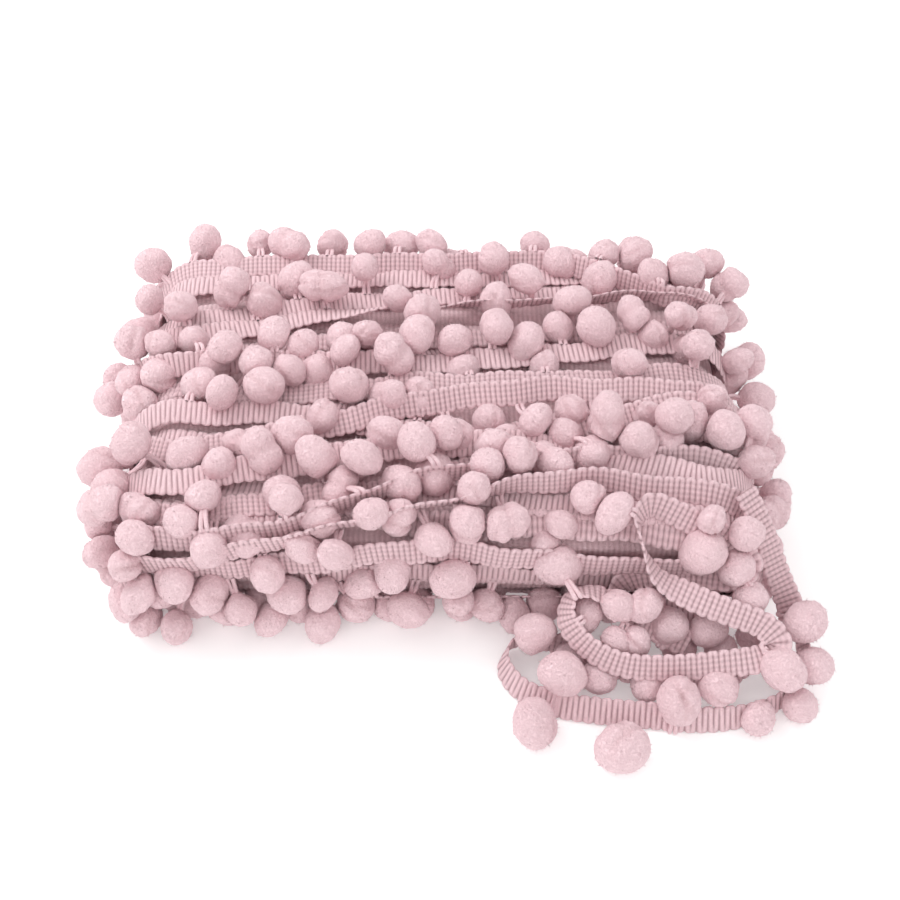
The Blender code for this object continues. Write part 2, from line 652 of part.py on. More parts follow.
def build():
    clear_scene()
    build_hank(yarn_material("pink_yarn_wound", (0.80, 0.60, 0.62)))
    build_loose_end(yarn_material("pink_yarn_loose", (0.78, 0.58, 0.60)))


build()
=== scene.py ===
"""Pompom fringe trim on a pale floor: ribbed tape, hanging loops and felted pompoms, wound
flat into a hank with the loose end in loops at its near right corner.

X runs along the hank, Y away from the viewer, Z up. Tables are in millimetres and degrees.
"""

import math
import random

import bmesh
import bpy
import numpy as np
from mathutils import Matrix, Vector


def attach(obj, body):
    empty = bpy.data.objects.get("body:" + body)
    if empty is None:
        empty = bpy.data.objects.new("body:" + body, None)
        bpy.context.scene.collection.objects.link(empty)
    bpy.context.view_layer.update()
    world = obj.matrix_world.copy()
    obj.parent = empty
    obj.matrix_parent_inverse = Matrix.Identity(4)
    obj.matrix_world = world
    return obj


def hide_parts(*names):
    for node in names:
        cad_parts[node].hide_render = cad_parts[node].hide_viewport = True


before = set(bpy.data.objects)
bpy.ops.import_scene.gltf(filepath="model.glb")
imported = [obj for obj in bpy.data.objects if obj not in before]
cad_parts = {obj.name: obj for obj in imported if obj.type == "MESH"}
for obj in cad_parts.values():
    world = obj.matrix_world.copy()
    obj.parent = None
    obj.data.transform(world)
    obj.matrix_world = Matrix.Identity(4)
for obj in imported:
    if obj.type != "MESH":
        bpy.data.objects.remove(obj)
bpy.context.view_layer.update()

MM = 0.001

# Tape: ribs across it, lengthwise rows on one face, and scalloped edges where each pair of
# ribs joins, by turns at one edge and at the other
TAPE_WIDTH = 11.0
TAPE_THICKNESS = 1.5
RIB_PITCH = 2.15
GRID_POINTS = 11
RIBBED_POINTS = 7
INNER_GRID_POINTS = 7
INNER_RIBBED_POINTS = 5
PLAIN_PLACES = (1.0, 0.80, 0.28, -0.28, -0.80, -1.0)
RIB_STATIONS = ((0.0, 0.0), (0.30, 1.0), (0.70, 1.0))
UNDER_STATIONS = ((0.0, 0.0), (0.5, 1.0))
SCALLOP = 0.13

# Pompoms and their hanging loops
POMPOM_RADIUS = 7.7
POMPOM_PITCH = 31.0
STRAND_RADIUS = 0.95
LOOP_REACH = 11.0
BALL_POINTS = 400
FUZZ = 0.011
FIBRES = 120
FIBRE_LENGTH = 1.3
FIBRE_WIDTH = 0.17
FIRST_SEED = 100
LUMPS = (dict(turns=(1.5, 3.5), size=(0.012, 0.036)), dict(turns=(6.0, 11.0), size=(0.004, 0.010)))
PINCHED_SHARE = 0.20
PINCH_DEPTH = 0.17
CREASE_DEPTH = 0.10
CREASE_WIDTH = 0.12

# Wound form: straight runs, rounded turns at both ends, a boxy section with a flat underside
RUN_END = 104.0
HALF_HEIGHT = 27.5
FLAT_DEPTH = 57.0
SIDE_BULGE = 30.0
CORNER_POWER = 2.6
END_REACH = 27.0
END_RISE = 3.0
NEAR_LEFT_TUCK = 6.0
CORE_INSET = 4.6
INNER_SINK = 2.0
SWAY = 0.8
SWAY_ROLL = 5.0
SECTION_SAMPLES = 60
HIGHEST = 14.0
LEAST_GAP = 0.90
CORE_BANDS = 120
BAND_RISES = (-1.5, 0.9, 0.3)

# Nothing reaches below this height over the floor
CLEAR_OF_FLOOR = 0.05

STATIONS = (-110.0, -55.0, 0.0, 55.0, 110.0)

# Yarn colours, linear red, green and blue. The crease and groove colours are painted shade.
FELT_LIGHT = (0.95, 0.705, 0.745)
FELT_DARK = (0.84, 0.595, 0.635)
FELT_PAINTED_SHADE = (0.72, 0.46, 0.49)
WEAVE_LIGHT = (1.0, 0.74, 0.78)
WEAVE_DARK = (0.88, 0.625, 0.665)
WEAVE_PAINTED_SHADE = (0.46, 0.275, 0.30)
# Colours of the winding core: a copy of the tape's colours set to how light falls in the gaps between
# turns, with a lighter painted shade in the grooves.
DEPTHS_LIGHT = (0.98, 0.735, 0.775)
DEPTHS_DARK = (0.89, 0.645, 0.685)
DEPTHS_PAINTED_SHADE = (0.62, 0.40, 0.425)

# One row for each turn of the tape that lies outermost. "top" is where the upper run lies,
# measured around the section from its top centre line, positive toward the viewer, at the
# five stations. "under" is the same for the lower run. "roll" tips the face to the viewer,
# at the left, middle and right, and "lift" is its height over the layer below at the same
# places. "side" is the fringed edge, +1 near or -1 far. "grid" puts the gridded face outward.
# "lies" places each pompom: a beside, f further off, h high, t topmost, o over the tape,
# d deep, n out of sight and left out.
TURNS = [
    dict(name="far_low", top=(-100, -99, -100, -99, -100), under=-123, roll=(0, 0, 0),
         lift=(0.2, 0.2, 0.2), side=-1, start=9, lies="adahada", grid=False),
    dict(name="far_rim", top=(-72, -75, -75, -75, -46), under=-143, roll=(38, 70, 80),
         lift=(0.2, -0.8, 0.5), side=-1, start=23, lies="tttathh", grid=True),
    dict(name="far_top", top=(-34, -48, -56, -60, -62), under=-156, roll=(12, 0, -5),
         lift=(0.3, -2.5, -3.0), side=-1, start=14, lies="hahahah", grid=False),
    dict(name="far_edge_on", top=(-24, -38, -42, -45, -50), under=-169, roll=(18, -46, -62),
         lift=(0.6, 0.6, 0.2), side=-1, start=27, lies="ahoahah", grid=False),
    dict(name="middle_far", top=(-5, -6, -8, -14, -21), under=-182, roll=(64, 12, 12),
         lift=(0.0, 1.0, 1.4), side=-1, start=5, lies="ahahhah", grid=False),
    dict(name="middle_low", top=(9, 8, 5, 3, -3), under=-195, roll=(0, 15, 10),
         lift=(-3.0, 0.4, -1.0), side=-1, start=22, lies="hdhddoa", grid=True),
    dict(name="middle_broad", top=(40, 32, 19, 12, 13), under=209, roll=(10, 42, 30),
         lift=(-3.0, 1.8, 1.8), side=1, start=16, lies="ahaffff", grid=True),
    dict(name="near_left", top=(23, 23, 32, 46, 52), under=195, roll=(20, 10, 0),
         lift=(1.0, -2.5, -3.0), side=-1, start=3, lies="ahhadah", grid=False),
    dict(name="near_wide", top=(62, 52, 42, 44, 60), under=182, roll=(24, 30, 24),
         lift=(1.0, 1.4, 1.0), side=1, start=11, lies="aahahaa", grid=False),
    dict(name="near_cross", top=(74, 66, 56, 33, 18), under=169, roll=(0, 5, 30),
         lift=(-3.0, -1.6, 1.6), side=1, start=26, lies="daahaha", grid=True),
    dict(name="twist_upper", top=(84, 79, 61, 50, 48), under=156, roll=(25, 98, 60),
         lift=(1.6, 1.2, -3.0), side=-1, start=18, lies="ahahdaa", grid=True),
    dict(name="twist_lower", top=(94, 83, 73, 62, 66), under=143, roll=(20, 100, 40),
         lift=(2.0, 2.4, -2.0), side=1, start=7, lies="aahaaha", grid=True),
    dict(name="front_low", top=(98, 95, 88, 94, 96), under=123, roll=(0, 10, 10),
         lift=(0.4, 0.4, 0.4), side=1, start=24, lies="aadaada", grid=True),
]

# Turns one layer further in, whose pompoms push out between the outer turns.
INNER_TURNS = [
    dict(name="inner_far", top=(-62, -68, -69, -70, -76), under=-140, roll=(10, 15, 0),
         lift=(-1.0, -2.0, -1.0), side=-1, start=9, lies="atttaah", grid=False),
    dict(name="inner_far_middle", top=(-16, -26, -28, -32, -36), under=-165, roll=(0, 0, 0),
         lift=(-3.0, -3.0, -3.0), side=1, start=13, lies="aahaahh", grid=True),
    dict(name="inner_upper", top=(2, 14, -24, -28, 2), under=-188, roll=(0, 0, 0),
         lift=(-4.0, -4.5, -4.0), side=-1, start=19, lies="hahhaha", grid=False),
    dict(name="inner_middle", top=(2, 12, -4, -4, 4), under=-195, roll=(0, 0, 0),
         lift=(-3.0, -3.0, -3.0), side=1, start=24, lies="haannna", grid=True),
    dict(name="inner_near", top=(32, 40, 36, 24, 28), under=190, roll=(0, 0, 0),
         lift=(-3.0, -3.0, -3.0), side=1, start=8, lies="ahahaah", grid=False),
    dict(name="inner_front", top=(72, 70, 62, 70, 74), under=165, roll=(0, 0, 0),
         lift=(-3.0, -3.0, -2.0), side=1, start=19, lies="aahahaa", grid=False),
    dict(name="inner_fold", top=(54, 62, 78, 78, 84), under=150, roll=(0, 0, 0),
         lift=(-4.0, -3.5, -2.0), side=-1, start=28, lies="ahahaha", grid=True),
    dict(name="inner_low", top=(106, 104, 104, 106, 108), under=134, roll=(0, 0, 0),
         lift=(-3.0, -3.0, -2.0), side=1, start=4, lies="anaaana", grid=False),
    dict(name="inner_back", top=(-86, -87, -85, -88, -86), under=-132, roll=(0, 0, 0),
         lift=(-2.0, -2.0, -2.0), side=1, start=12, lies="nnnnnnn", grid=True),
]

# Loose end: centre line points and the lean of the tape's upper edge off the vertical,
# positive to the left of travel, from the hank's near right corner to the curled free end.
LOOSE_PATH = [
    dict(x=122, y=-66, z=57, lean=90), dict(x=130, y=-76, z=44, lean=88),
    dict(x=136, y=-84, z=30, lean=75), dict(x=142, y=-91, z=18, lean=50),
    dict(x=147, y=-101, z=10, lean=22), dict(x=145, y=-114, z=6, lean=5),
    dict(x=137, y=-126, z=5.0, lean=-8), dict(x=121, y=-134, z=4.8, lean=-22),
    dict(x=102, y=-136, z=4.6, lean=-34), dict(x=83, y=-134, z=4.5, lean=-40),
    dict(x=64, y=-132, z=4.5, lean=-40), dict(x=47, y=-129, z=4.7, lean=-34),
    dict(x=34, y=-122, z=4.9, lean=-26), dict(x=28, y=-111, z=5.3, lean=-22),
    dict(x=33, y=-102, z=7, lean=-8), dict(x=46, y=-102, z=7.5, lean=14),
    dict(x=64, y=-110, z=7, lean=34), dict(x=84, y=-117, z=6.5, lean=40),
    dict(x=104, y=-120, z=6.5, lean=36), dict(x=121, y=-116, z=8, lean=16),
    dict(x=130, y=-106, z=13, lean=0), dict(x=122, y=-97, z=17, lean=-20),
    dict(x=104, y=-95, z=18, lean=-34), dict(x=84, y=-94, z=18, lean=-20),
    dict(x=72, y=-90, z=22, lean=0), dict(x=80, y=-86, z=28, lean=30),
    dict(x=100, y=-87, z=32, lean=50), dict(x=117, y=-91, z=34, lean=80),
    dict(x=123, y=-88, z=39, lean=118), dict(x=115, y=-82, z=47, lean=140),
    dict(x=99, y=-77, z=53, lean=146), dict(x=85, y=-73, z=57, lean=158),
    dict(x=79, y=-79, z=55, lean=165), dict(x=81, y=-87, z=48, lean=156),
    dict(x=87, y=-95, z=40, lean=108), dict(x=99, y=-101, z=36, lean=58),
    dict(x=113, y=-106, z=33, lean=40), dict(x=126, y=-110, z=30, lean=40),
    dict(x=132, y=-115, z=25, lean=76), dict(x=126, y=-119, z=21, lean=118),
    dict(x=110, y=-121, z=20, lean=140), dict(x=92, y=-122, z=19, lean=148),
    dict(x=74, y=-121, z=19, lean=152), dict(x=60, y=-115, z=22, lean=156),
    dict(x=52, y=-106, z=27, lean=150), dict(x=54, y=-98, z=32, lean=132),
    dict(x=63, y=-97, z=33, lean=112), dict(x=75, y=-101, z=27, lean=84),
    dict(x=88, y=-105, z=20, lean=62), dict(x=100, y=-109, z=15, lean=50),
]

# Pompoms of the loose end: centre and radius, and the spacing of a second lobe along X.
LOOSE_POMPOMS = [
    dict(x=121, y=-82, z=50, r=7.2, twin=0), dict(x=105, y=-86, z=44, r=9.6, twin=0),
    dict(x=118, y=-89, z=38, r=8.0, twin=0), dict(x=123, y=-98, z=31, r=7.2, twin=0),
    dict(x=107, y=-80, z=56, r=6.2, twin=0), dict(x=145, y=-104, z=24, r=8.6, twin=0),
    dict(x=147, y=-117, z=13, r=8.0, twin=0), dict(x=134, y=-123, z=19, r=8.8, twin=0),
    dict(x=141, y=-131, z=7, r=7.0, twin=0), dict(x=124, y=-137, z=7, r=7.0, twin=0),
    dict(x=93, y=-134, z=15, r=8.8, twin=0), dict(x=110, y=-126, z=12, r=8.0, twin=0),
    dict(x=71, y=-150, z=9.4, r=9.4, twin=0), dict(x=39, y=-140, z=8.8, r=8.8, twin=0),
    dict(x=50, y=-122, z=15, r=8.8, twin=0), dict(x=40, y=-105, z=17, r=8.2, twin=0),
    dict(x=49, y=-86, z=36, r=9.4, twin=0), dict(x=45, y=-79, z=41, r=7.4, twin=0),
    dict(x=72, y=-102, z=31, r=6.6, twin=10), dict(x=71, y=-111, z=21, r=6.2, twin=8),
    dict(x=60, y=-101, z=24, r=7.4, twin=0), dict(x=92, y=-103, z=20, r=8.2, twin=0),
    dict(x=61, y=-70, z=58, r=7.2, twin=0), dict(x=70, y=-77, z=57, r=8.6, twin=0),
    dict(x=50, y=-77, z=50, r=6.2, twin=0), dict(x=65, y=-119, z=8, r=7.2, twin=0),
    dict(x=83, y=-122, z=8, r=7.2, twin=0), dict(x=108, y=-104, z=17, r=7.4, twin=0),
    dict(x=98, y=-105, z=7.5, r=7.2, twin=0), dict(x=114, y=-106, z=7.5, r=7.2, twin=0),
    dict(x=128, y=-99, z=7.5, r=7.0, twin=0), dict(x=54, y=-112, z=7, r=6.8, twin=0),
]

LIE_SIDEWAYS = {"a": 15.0, "f": 21.0, "h": 10.5, "t": 12.0, "o": 1.0, "d": 14.0}
LIE_HEIGHT = {"a": 3.6, "f": 4.0, "h": 9.0, "t": 12.0, "o": 8.0, "d": -1.5}


def unit(vector):
    return vector / max(float(np.linalg.norm(vector)), 1e-9)


def unit_rows(rows):
    return rows / np.maximum(np.linalg.norm(rows, axis=1), 1e-9)[:, None]


def section_table():
    """Points around the section with their distance from the top centre line."""
    quarter = np.linspace(0.0, math.pi, SECTION_SAMPLES)
    bend_y = np.abs(np.sin(quarter)) ** (2.0 / CORNER_POWER)
    bend_z = np.sign(np.cos(quarter)) * np.abs(np.cos(quarter)) ** (2.0 / CORNER_POWER)
    depth = np.concatenate([[0.0], FLAT_DEPTH + SIDE_BULGE * bend_y, [0.0]])
    height = np.concatenate([[2.0 * HALF_HEIGHT], HALF_HEIGHT + HALF_HEIGHT * bend_z, [0.0]])
    steps = np.hypot(np.diff(depth), np.diff(height))
    around = np.concatenate([[0.0], np.cumsum(steps)])
    return around, depth, height


AROUND, DEPTH, HEIGHT = section_table()
HALF_GIRTH = float(AROUND[-1])


def section_point(across):
    """Place on the section, and the outward direction there, for a distance around it."""
    wrapped = (across + HALF_GIRTH) % (2.0 * HALF_GIRTH) - HALF_GIRTH
    side = -1.0 if wrapped >= 0.0 else 1.0
    here = abs(wrapped)
    place = np.array([0.0, side * np.interp(here, AROUND, DEPTH), np.interp(here, AROUND, HEIGHT)])
    ahead = min(here + 1.5, HALF_GIRTH)
    behind = max(here - 1.5, 0.0)
    run_y = np.interp(ahead, AROUND, DEPTH) - np.interp(behind, AROUND, DEPTH)
    run_z = np.interp(ahead, AROUND, HEIGHT) - np.interp(behind, AROUND, HEIGHT)
    outward = np.array([0.0, -side * run_z, run_y])
    return place, outward / np.linalg.norm(outward)


def smooth_between(values, position):
    """Smooth curve through evenly spaced values, position counted in steps."""
    last = len(values) - 1
    index = int(min(max(math.floor(position), 0), last - 1))
    t = min(max(position - index, 0.0), 1.0)
    before = values[max(index - 1, 0)]
    start = values[index]
    end = values[index + 1]
    after = values[min(index + 2, last)]
    return 0.5 * (2.0 * start + (end - before) * t
                  + (2.0 * before - 5.0 * start + 4.0 * end - after) * t * t
                  + (3.0 * start - before - 3.0 * end + after) * t ** 3)


def top_across(turn, x):
    return smooth_between(turn["top"], (x - STATIONS[0]) / (STATIONS[1] - STATIONS[0]))


def end_reach(x, y):
    """How far the rounded end stands beyond the straight runs, less at the near left."""
    tuck = NEAR_LEFT_TUCK * np.clip((-y - 10.0) / 60.0, 0.0, 1.0)
    return END_REACH - np.where(x < 0.0, tuck, 0.0)


def end_points(turn, end, steps):
    """Half turn round one end of the hank, from the upper run down to the lower one."""
    upper, upper_out = section_point(top_across(turn, end * RUN_END))
    lower, lower_out = section_point(turn["under"])
    middle = 0.5 * (upper + lower)
    half = 0.5 * (upper - lower)
    roll_start = math.radians(turn["roll"][2 if end > 0 else 0])
    points = []
    for i in range(1, steps):
        angle = math.pi * i / steps
        place = middle + half * math.cos(angle)
        place[0] = end * (RUN_END + float(end_reach(end, place[1])) * math.sin(angle))
        side_out = upper_out if angle < math.pi / 2.0 else lower_out
        outward = unit(np.array([end * math.sin(angle), 0.0, 0.0]) + side_out * abs(math.cos(angle)))
        roll = roll_start * max(math.cos(angle), 0.0)
        lift = turn["lift"][2 if end > 0 else 0] * max(math.cos(angle), 0.0)
        lift -= beneath_sink(turn) * max(-math.cos(angle), 0.0)
        points.append((place, outward, roll, lift))
    return points


def beneath_sink(turn):
    """How far above the outer turns a lower run lies."""
    return INNER_SINK if turn in INNER_TURNS else 0.0


def turn_points(turn, run_steps=104, end_steps=44):
    """Centre line of one turn as (place, outward, roll, lift), closed, from the left end."""
    points = []
    for i in range(run_steps + 1):
        x = -RUN_END + 2.0 * RUN_END * i / run_steps
        place, outward = section_point(top_across(turn, x))
        roll = math.radians(smooth_between(turn["roll"], 2.0 * i / run_steps))
        lift = smooth_between(turn["lift"], 2.0 * i / run_steps)
        points.append((place + np.array([x, 0.0, 0.0]), outward, roll, lift))
    points += end_points(turn, 1.0, end_steps)
    for i in range(run_steps + 1):
        x = RUN_END - 2.0 * RUN_END * i / run_steps
        place, outward = section_point(turn["under"])
        points.append((place + np.array([x, 0.0, 0.0]), outward, 0.0, -beneath_sink(turn)))
    points += list(reversed(end_points(turn, -1.0, end_steps)))
    return points


def turn_frames(turn):
    """Centre, width direction, face direction and outward direction along one turn."""
    points = turn_points(turn)
    rows = []
    count = len(points)
    beat = 2.0 * math.pi / count
    for i, (place, outward, roll, lift) in enumerate(points):
        direction = unit(points[(i + 1) % count][0] - points[i - 1][0])
        outward = unit(outward - direction * float(outward @ direction))
        across = np.cross(direction, outward)
        free = 1.0 if outward[2] > -0.3 else 0.0
        roll += free * math.radians(SWAY_ROLL) * math.sin(11.0 * beat * i + turn["start"])
        place = place + across * (SWAY * math.sin(17.0 * beat * i + 1.7 * turn["start"]))
        width_way = across * math.cos(roll) - outward * math.sin(roll)
        face = outward * math.cos(roll) + across * math.sin(roll)
        rise = 0.5 * TAPE_WIDTH * abs(math.sin(roll)) + lift
        centre = place + outward * (rise - 0.5 * TAPE_THICKNESS)
        rows.append(np.concatenate([centre, width_way, face, outward]))
    return np.array(rows)


def loose_frames(steps_per_point=8):
    """The same columns along the loose end, its lean turned into a width direction."""
    keys = ("x", "y", "z", "lean")
    columns = [[row[key] for row in LOOSE_PATH] for key in keys]
    count = (len(LOOSE_PATH) - 1) * steps_per_point
    line = np.array([[smooth_between(column, i / steps_per_point) for column in columns]
                     for i in range(count + 1)])
    rows = []
    for i in range(count + 1):
        direction = unit(line[min(i + 1, count), :3] - line[max(i - 1, 0), :3])
        left = unit(np.cross(np.array([0.0, 0.0, 1.0]), direction))
        upright = unit(np.array([0.0, 0.0, 1.0]) - direction * direction[2])
        lean = math.radians(line[i, 3])
        width_way = upright * math.cos(lean) + left * math.sin(lean)
        face = np.cross(direction, width_way)
        rows.append(np.concatenate([line[i, :3], width_way, face, face]))
    return np.array(rows)


def lengths_along(frames, closed):
    """Distance travelled at each frame of a line."""
    centres = frames[:, :3]
    if closed:
        centres = np.vstack([centres, centres[:1]])
    steps = np.linalg.norm(np.diff(centres, axis=0), axis=1)
    return np.concatenate([[0.0], np.cumsum(steps)])


def frames_at(frames, distances, closed):
    """Frames met at the given distances along a line."""
    along = lengths_along(frames, closed)
    table = np.vstack([frames, frames[:1]]) if closed else frames
    found = np.column_stack([np.interp(distances, along, table[:, k]) for k in range(table.shape[1])])
    for k in (3, 6, 9):
        found[:, k:k + 3] = unit_rows(found[:, k:k + 3])
    return found


def mesh_piece(name, vertices, faces, painted_shades_and_tones):
    """One object from points in millimetres, point numbers of its faces and a value per point of painted
    shade, on pompoms also their own tone.
    """
    mesh = bpy.data.meshes.new(name)
    mesh.from_pydata((np.asarray(vertices) * MM).tolist(), [], faces.tolist())
    mesh.shade_smooth()
    painted_shade_and_tone = mesh.attributes.new("painted_shade_and_tone", "FLOAT", "POINT")
    painted_shade_and_tone.data.foreach_set("value", np.clip(painted_shades_and_tones, 0.0, 1.0).astype(np.float32))
    piece = bpy.data.objects.new(name, mesh)
    bpy.context.scene.collection.objects.link(piece)
    return piece


def merged(parts):
    """Points, faces and shades of several shapes put together."""
    vertices = []
    faces = []
    painted_shades_and_tones = []
    shift = 0
    for points, polygons, painted_shade_and_tone in parts:
        vertices.append(points)
        faces.append(polygons + shift)
        painted_shades_and_tones.append(painted_shade_and_tone)
        shift += len(points)
    return np.vstack(vertices), np.vstack(faces), np.concatenate(painted_shades_and_tones)


def tube_quads(count, around, closed):
    """Quads that join rings of points, each to the next, and the last to the first if closed."""
    spans = count if closed else count - 1
    i = np.repeat(np.arange(spans), around)
    k = np.tile(np.arange(around), spans)
    j = (i + 1) % count
    n = (k + 1) % around
    return np.column_stack([i * around + k, i * around + n, j * around + n, j * around + k])


def rib_stations(frames, length, closed):
    """Distances of the tape's cross-sections, how high each is and where in a pair of ribs."""
    ribs = 2 * int(round(0.5 * length / RIB_PITCH))
    pitch = length / ribs
    starts = np.arange(ribs) * pitch
    heights = frames_at(frames, starts, closed)[:, 2]
    rows = []
    for rib in range(ribs):
        for part, rise in (UNDER_STATIONS if heights[rib] < 2.0 else RIB_STATIONS):
            rows.append((starts[rib] + part * pitch, rise, 0.5 * (rib + part)))
    if not closed:
        rows.append((length, 0.0, 0.5 * ribs))
    rows = np.array(rows)
    return rows[:, 0], rows[:, 1], rows[:, 2]


def tape_side(centre, width_way, face, reach, rises, places, rows_on):
    """Rings of points across one face, each with its painted shade: darker in the grooves, at the edge
    notches and between the rows.
    """
    rings = []
    painted_shades_and_tones = []
    half = 0.5 * TAPE_THICKNESS
    for k, w in enumerate(places):
        edge = np.clip((abs(w) - 0.7) / 0.2, 0.0, 1.0)
        loop = reach[0] if w > 0.0 else reach[1]
        height = (1.0 - edge) * rises + edge * loop
        row = float(rows_on and k % 2)
        level = 0.22 + 0.56 * height + 0.10 * row + 0.12 * row * height
        lean = 0.5 * TAPE_WIDTH * (1.0 - SCALLOP + SCALLOP * loop)
        rounding = 1.0 - 0.45 * w ** 8
        place = centre + width_way * (w * lean)[:, None] + face * (half * level * rounding)[:, None]
        place[:, 2] = np.maximum(place[:, 2], 0.03)
        rings.append(place)
        # Painted shade: darker in the grooves, at the edge notches and between the rows.
        row_gap_painted_shade = 1.0 - 0.30 * float(rows_on) * (1.0 - row) * (1.0 - edge)
        painted_shades_and_tones.append((0.05 + 0.30 * row + (0.95 - 0.30 * row) * height) * row_gap_painted_shade)
    return rings, painted_shades_and_tones


def ribbed_tape(frames, closed, grid_out, face_points):
    """Woven tape with ribs across, rows of stitches along one face and scalloped edges."""
    length = float(lengths_along(frames, closed)[-1])
    distances, rises, pairs = rib_stations(frames, length, closed)
    at = frames_at(frames, distances, closed)
    centre, width_way, face = at[:, :3], at[:, 3:6], at[:, 6:9]
    if not grid_out:
        face = -face
    order = np.arange(len(rises))
    wave = 0.10 * np.sin(1.7 * order + 0.9 * np.sin(0.31 * order))
    far_loops = np.sqrt(np.abs(np.sin(math.pi * pairs))) + wave
    near_loops = np.sqrt(np.abs(np.cos(math.pi * pairs))) - wave
    reach = (far_loops, near_loops)
    across = np.linspace(-1.0, 1.0, face_points)
    rings, painted_shades_and_tones = tape_side(centre, width_way, face, reach, rises, across, True)
    more, more_painted_shades = tape_side(centre, width_way, -face, reach, rises, PLAIN_PLACES, False)
    points = np.stack(rings + more, axis=1)
    count, around = points.shape[:2]
    quads = tube_quads(count, around, closed)
    if grid_out:
        quads = quads[:, ::-1]
    if not closed:
        quads = capped(quads, around, count, grid_out)
    return points.reshape(-1, 3), quads, np.stack(painted_shades_and_tones + more_painted_shades, axis=1).reshape(-1)


def wound_tape(turn, grid_points, ribbed_points):
    """Tape of one turn, with more points across where its gridded face is outward."""
    face_points = grid_points if turn["grid"] else ribbed_points
    return ribbed_tape(turn_frames(turn), True, turn["grid"], face_points)


def capped(quads, around, count, grid_out):
    """Close both cut ends of a tape with strips from one face to the other."""
    caps = []
    for first, flip in ((0, grid_out), ((count - 1) * around, not grid_out)):
        low = 0
        high = around - 1
        while high - low > 2:
            cap = [first + low, first + low + 1, first + high - 1, first + high]
            caps.append(cap if flip else cap[::-1])
            low += 1
            high -= 1
        if high - low == 2:
            cap = [first + low, first + low + 1, first + high, first + high]
            caps.append(cap if flip else cap[::-1])
    return np.vstack([quads, np.array(caps)])


def height_over_winding(places):
    """Distance outside the outer face of the winding, negative inside it, for rows of places."""
    reach = end_reach(places[:, 0], places[:, 1])
    end = np.maximum(np.abs(places[:, 0]) - RUN_END, 0.0) / reach
    side = np.maximum(np.abs(places[:, 1]) - FLAT_DEPTH, 0.0) / SIDE_BULGE
    rise = np.abs(places[:, 2] - HALF_HEIGHT) / HALF_HEIGHT
    power = CORNER_POWER
    return HALF_HEIGHT * ((np.hypot(end, rise) ** power + side ** power) ** (1.0 / power) - 1.0)


def outward_of_winding(places):
    slope = []
    for axis in range(3):
        shift = np.zeros(3)
        shift[axis] = 0.5
        slope.append(height_over_winding(places + shift) - height_over_winding(places - shift))
    return unit_rows(np.column_stack(slope))


def turn_pompoms(turn):
    """Pompoms of one turn: root on the tape's edge, centre, radius and lowest height of each."""
    frames = turn_frames(turn)
    length = float(lengths_along(frames, True)[-1])
    count = int(length // POMPOM_PITCH)
    distances = (turn["start"] + np.arange(count) * length / count) % length
    found = frames_at(frames, distances, True)
    after = frames_at(frames, (distances + 1.0) % length, True)
    pompoms = []
    for k in range(count):
        centre, width_way, outward = found[k, :3], found[k, 3:6], found[k, 9:12]
        direction = unit(after[k, :3] - centre)
        lie = turn["lies"][k % len(turn["lies"])]
        if lie == "n":
            continue
        radius = POMPOM_RADIUS * (1.0 + 0.10 * math.sin(5.1 * k + turn["start"]))
        root = centre + width_way * (turn["side"] * 0.5 * TAPE_WIDTH)
        level = centre + np.cross(direction, outward) * (turn["side"] * LIE_SIDEWAYS[lie])
        level = level + direction * (3.0 * math.sin(2.3 * k + turn["start"]))
        way = outward_of_winding(level[None, :])[0]
        level = level - way * height_over_winding(level[None, :])[0]
        height = LIE_HEIGHT[lie] + END_RISE * min(max(abs(level[0]) - RUN_END, 0.0) / 12.0, 1.0)
        place = level + outward_of_winding(level[None, :])[0] * height
        pompoms.append(dict(root=root, along=direction, width=width_way * turn["side"],
                            centre=place, r=radius, low=min(height, 2.0)))
    return pompoms


def settle(pompoms, rounds=30):
    """Push pompoms apart where they press too far into each other."""
    centres = np.array([p["centre"] for p in pompoms])
    radii = np.array([p["r"] for p in pompoms])
    lows = np.array([p["low"] for p in pompoms])
    wanted = LEAST_GAP * (radii[:, None] + radii[None, :])
    for _ in range(rounds):
        gaps = centres[:, None, :] - centres[None, :, :]
        distance = np.linalg.norm(gaps, axis=2) + 1e-6
        press = np.clip(wanted - distance, 0.0, None)
        np.fill_diagonal(press, 0.0)
        centres = centres + 0.30 * np.sum(gaps / distance[:, :, None] * press[:, :, None], axis=1)
        height = height_over_winding(centres)
        way = outward_of_winding(centres)
        centres += way * (np.clip(lows - height, 0.0, None) * 0.5)[:, None]
        centres -= way * (np.clip(height - HIGHEST, 0.0, None) * 0.5)[:, None]
        centres[:, 2] = np.maximum(centres[:, 2], radii)
    for i, pompom in enumerate(pompoms):
        pompom["centre"] = centres[i]
    return pompoms


def loose_pompoms(frames):
    """Pompoms of the loose end with their roots on the nearest stretch of the fringed edge."""
    edge = frames[:, :3] - frames[:, 3:6] * (0.5 * TAPE_WIDTH)
    pompoms = []
    for row in LOOSE_POMPOMS:
        centre = np.array([row["x"], row["y"], row["z"]], dtype=float)
        nearest = int(np.argmin(np.linalg.norm(edge - centre, axis=1)))
        ahead = min(nearest + 1, len(frames) - 1)
        direction = unit(frames[ahead, :3] - frames[ahead - 1, :3])
        for lobe in ((0.0, row["twin"]) if row["twin"] else (0.0,)):
            place = centre + np.array([lobe, 0.0, 0.0])
            pompoms.append(dict(root=edge[nearest], along=direction, width=-frames[nearest, 3:6],
                                centre=place, r=row["r"], lobe=lobe > 0.0))
    return pompoms


